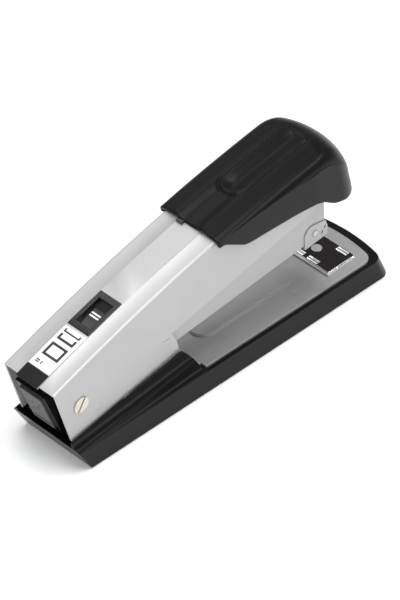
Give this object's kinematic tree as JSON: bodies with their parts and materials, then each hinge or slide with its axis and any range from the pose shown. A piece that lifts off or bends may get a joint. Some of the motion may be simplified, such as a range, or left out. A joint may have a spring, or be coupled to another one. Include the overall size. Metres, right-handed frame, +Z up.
{
  "type": "stapler",
  "caption": "Desktop stapler with a steel arm, black front cap, front-loading staple drawer, rear release button and turning anvil on a flared base.",
  "frame": {"origin": "on the table, under the middle of the base's rim", "axes": "+X towards the jaw, +Y left, +Z up; the jaw is open at rest"},
  "size_m": [0.1865, 0.0426, 0.0829],
  "materials": {
    "base_shell": "fine-grained black ABS moulding",
    "base_sole": "soft black rubber",
    "base_plate": "silver satin sheet steel",
    "plate_screws": "zinc-plated screws",
    "hinge_bracket": "zinc-plated sheet steel",
    "bracket_rivets": "zinc-plated rivets",
    "hinge_axle": "bright steel pin",
    "hinge_screw": "nickel-plated slotted head",
    "hinge_nut": "nickel-plated slotted head",
    "lift_spring": "spring steel leaf",
    "anvil_spring": "spring steel wire",
    "anvil_button": "black moulding",
    "anvil_post": "bright plated steel",
    "anvil_plate": "polished chrome-plated steel",
    "magazine_frame": "silver-grey lacquered sheet steel",
    "tray_guides": "black moulding",
    "nose_cheeks": "silver-grey lacquered sheet steel",
    "nose_rivets": "bright rivet ends",
    "nose_plate": "silver-grey lacquered sheet steel",
    "rear_bezel": "black moulding",
    "latch_pin": "bright steel pin",
    "handle_spring": "spring steel wire",
    "staple_tray": "zinc-plated sheet steel",
    "staple_rail": "zinc-plated sheet steel",
    "staple_strip": "galvanised steel wire",
    "spring_anchor": "bright steel pin",
    "pusher_spring": "spring steel wire",
    "staple_pusher": "pressed steel",
    "release_button": "dark grey textured moulding",
    "release_latch": "pressed steel",
    "top_cover": "silver-grey lacquered sheet steel",
    "rear_badge": "glossy black foil",
    "size_label": "white printed foil",
    "window_insert": "glossy black moulding",
    "front_cap": "satin black ABS moulding",
    "cap_clip": "black moulding",
    "cap_screws": "zinc-plated screws",
    "driver_blade": "hardened steel blade",
    "driver_block": "black moulding",
    "driver_rivets": "bright steel rivets"
  },
  "bodies": {
    "base": {"base_shell": "base_shell", "base_sole": "base_sole", "base_plate": "base_plate", "plate_screws": "plate_screws", "hinge_bracket": "hinge_bracket", "bracket_rivets": "bracket_rivets", "hinge_axle": "hinge_axle", "hinge_screw": "hinge_screw", "hinge_nut": "hinge_nut", "lift_spring": "lift_spring", "anvil_spring": "anvil_spring"},
    "anvil_lifter": {"anvil_button": "anvil_button"},
    "anvil": {"anvil_post": "anvil_post", "anvil_plate": "anvil_plate"},
    "magazine": {"magazine_frame": "magazine_frame", "tray_guides": "tray_guides", "nose_cheeks": "nose_cheeks", "nose_rivets": "nose_rivets", "nose_plate": "nose_plate", "rear_bezel": "rear_bezel", "latch_pin": "latch_pin", "handle_spring": "handle_spring"},
    "drawer": {"staple_tray": "staple_tray", "staple_rail": "staple_rail", "staple_strip": "staple_strip", "spring_anchor": "spring_anchor", "pusher_spring": "pusher_spring"},
    "pusher": {"staple_pusher": "staple_pusher"},
    "button": {"release_button": "release_button"},
    "latch": {"release_latch": "release_latch"},
    "handle": {"top_cover": "top_cover", "rear_badge": "rear_badge", "size_label": "size_label", "window_insert": "window_insert", "front_cap": "front_cap", "cap_clip": "cap_clip", "cap_screws": "cap_screws", "driver_blade": "driver_blade", "driver_block": "driver_block", "driver_rivets": "driver_rivets"}
  },
  "joints": [
    {"name": "magazine_pivot", "type": "hinge", "parent": "base", "child": "magazine", "pos_m": [-0.084, 0, 0.032], "axis": [0, 1, 0], "range_deg": [0, 5.9], "stiffness_Nm_per_rad": 1.2, "springref_deg": -28.65, "deforming": ["lift_spring"]},
    {"name": "handle_pivot", "type": "hinge", "parent": "magazine", "child": "handle", "pos_m": [-0.084, 0, 0.032], "axis": [0, 1, 0], "range_deg": [0, 4.9], "stiffness_Nm_per_rad": 1, "springref_deg": -22.92, "deforming": ["handle_spring"]},
    {"name": "drawer_slide", "type": "slide", "parent": "magazine", "child": "drawer", "axis": [-0.9986, 0, -0.0523], "range_m": [-0.07, 0]},
    {"name": "pusher_slide", "type": "slide", "parent": "drawer", "child": "pusher", "axis": [0.9986, 0, 0.0523], "range_m": [-0.045, 0], "stiffness_N_per_m": 15, "springref_m": 0.02},
    {"name": "button_press", "type": "slide", "parent": "magazine", "child": "button", "axis": [0.9361, 0, 0.3518], "range_m": [0, 0.0018], "stiffness_N_per_m": 600, "springref_m": -0.0005},
    {"name": "latch_turn", "type": "hinge", "parent": "magazine", "child": "latch", "pos_m": [-0.06997, 0, 0.03173], "axis": [0, 1, 0], "range_deg": [0, 22.01]},
    {"name": "anvil_lift", "type": "slide", "parent": "base", "child": "anvil_lifter", "axis": [0, 0, -1], "range_m": [-0.0016, 0], "stiffness_N_per_m": 800, "springref_m": 0.0005, "deforming": ["anvil_spring"]},
    {"name": "anvil_turn", "type": "hinge", "parent": "anvil_lifter", "child": "anvil", "pos_m": [0.0631, 0, 0.013], "axis": [0, 0, 1], "range_deg": [0, 180]}
  ],
  "couplings": [
    {"joint": "latch_turn", "follows": "button_press", "rad_per_m": 213.3}
  ]
}
